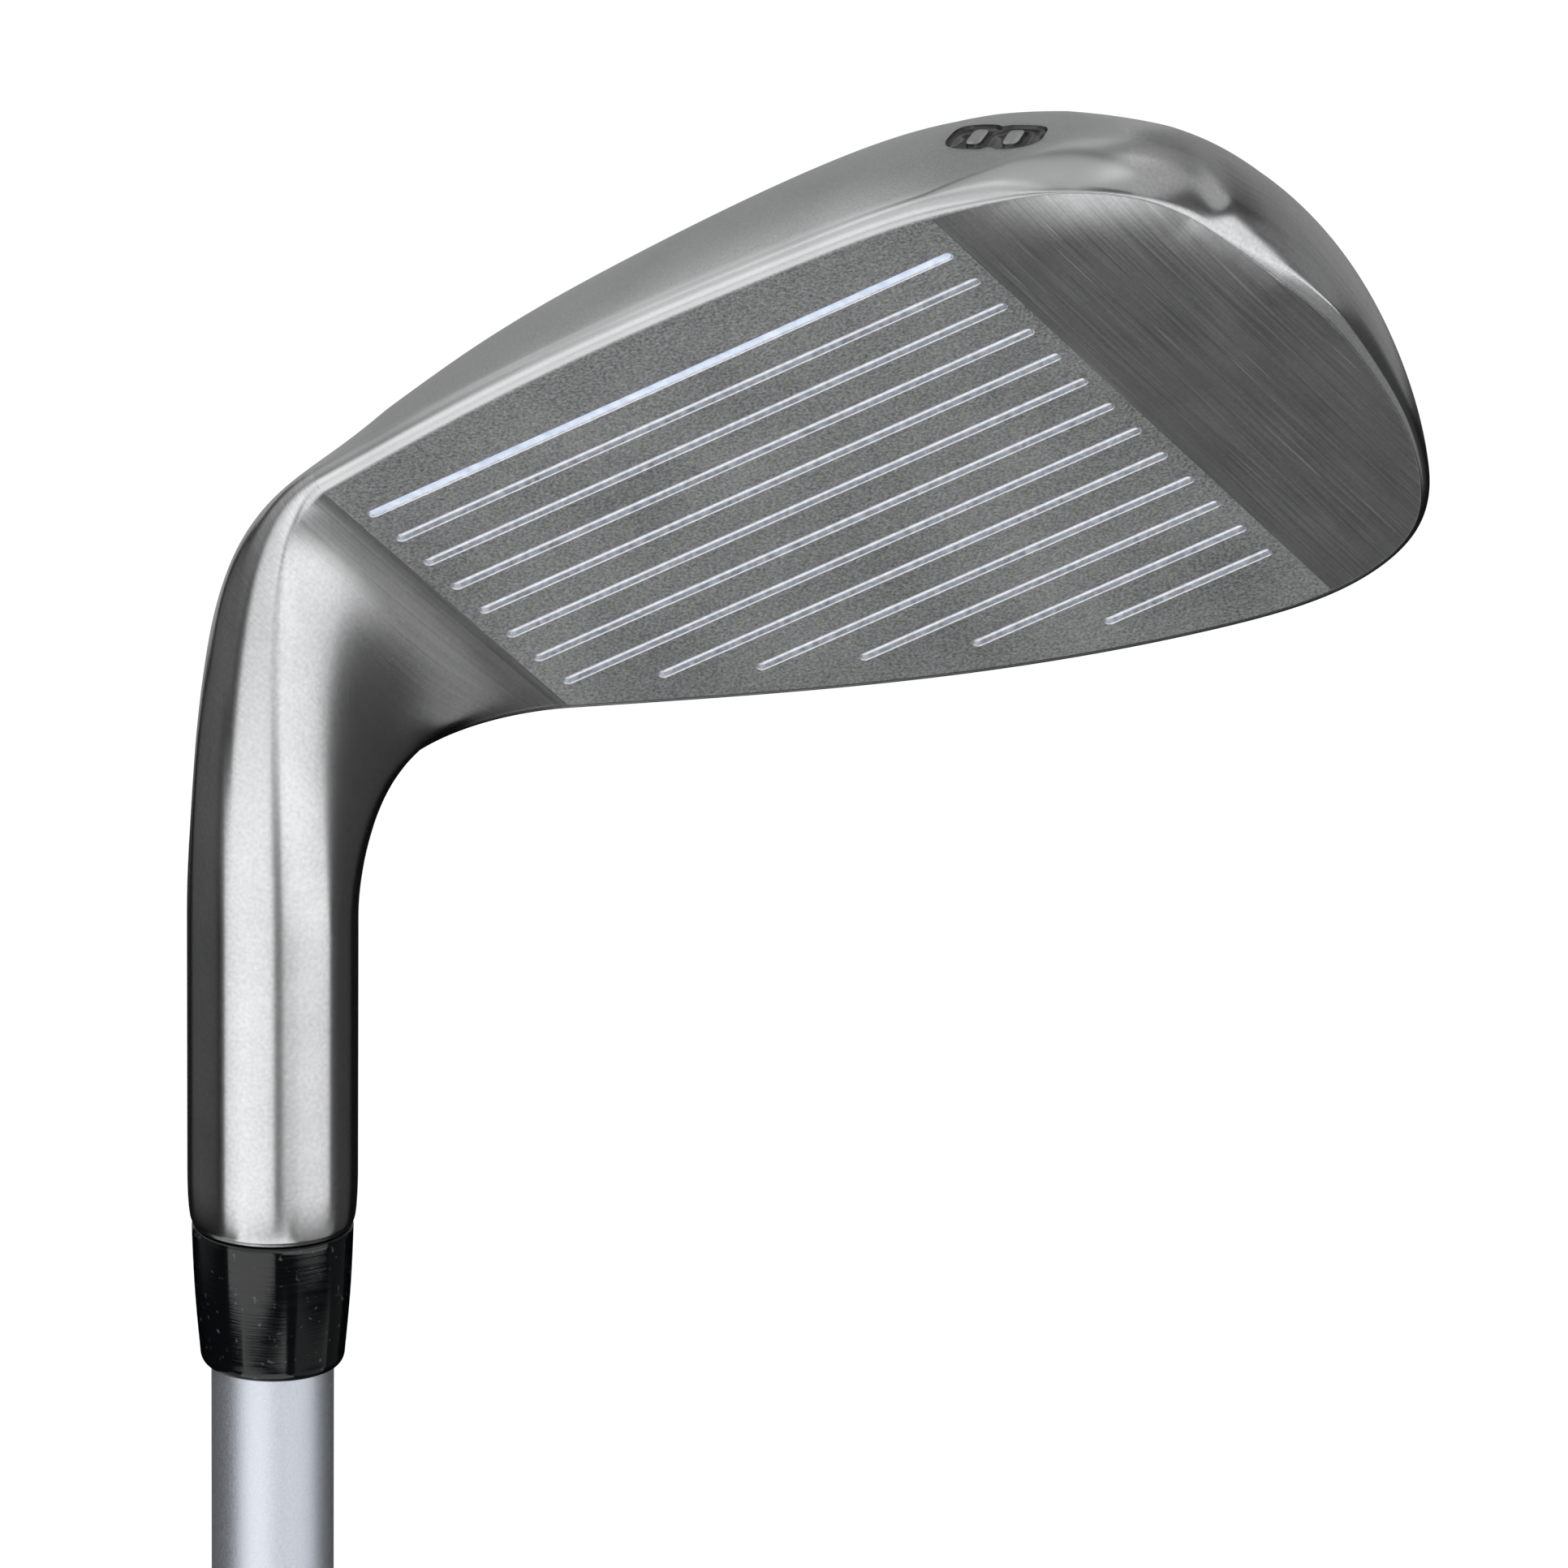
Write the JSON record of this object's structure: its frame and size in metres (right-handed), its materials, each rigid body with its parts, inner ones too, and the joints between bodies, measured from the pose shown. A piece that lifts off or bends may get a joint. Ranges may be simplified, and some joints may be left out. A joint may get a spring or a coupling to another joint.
{
  "type": "iron golf club",
  "caption": "Right-handed lofted iron golf club: grooved steel blade with a round hosel, black ferrule, tapered silver shaft and rubber grip, for striking a ball by hand.",
  "frame": {"origin": "centre of the flat end of the grip cap, at the butt of the club", "axes": "+Z along the shaft from the butt to the head; +X towards the toe; the hitting face looks towards -Y"},
  "size_m": [0.093, 0.0499, 0.9544],
  "materials": {
    "satin_steel": "satin",
    "turned_brass": "satin",
    "black_plastic": "polished",
    "silver_paint": "satin",
    "tape_paper": "matte",
    "grip_rubber": "matte",
    "cap_rubber": "satin"
  },
  "bodies": {
    "root": {"club_head": "satin_steel", "tip_weight": "turned_brass", "ferrule": "black_plastic", "shaft": "silver_paint", "grip_tape": "tape_paper", "grip": "grip_rubber", "grip_cap": "cap_rubber"}
  },
  "joints": []
}
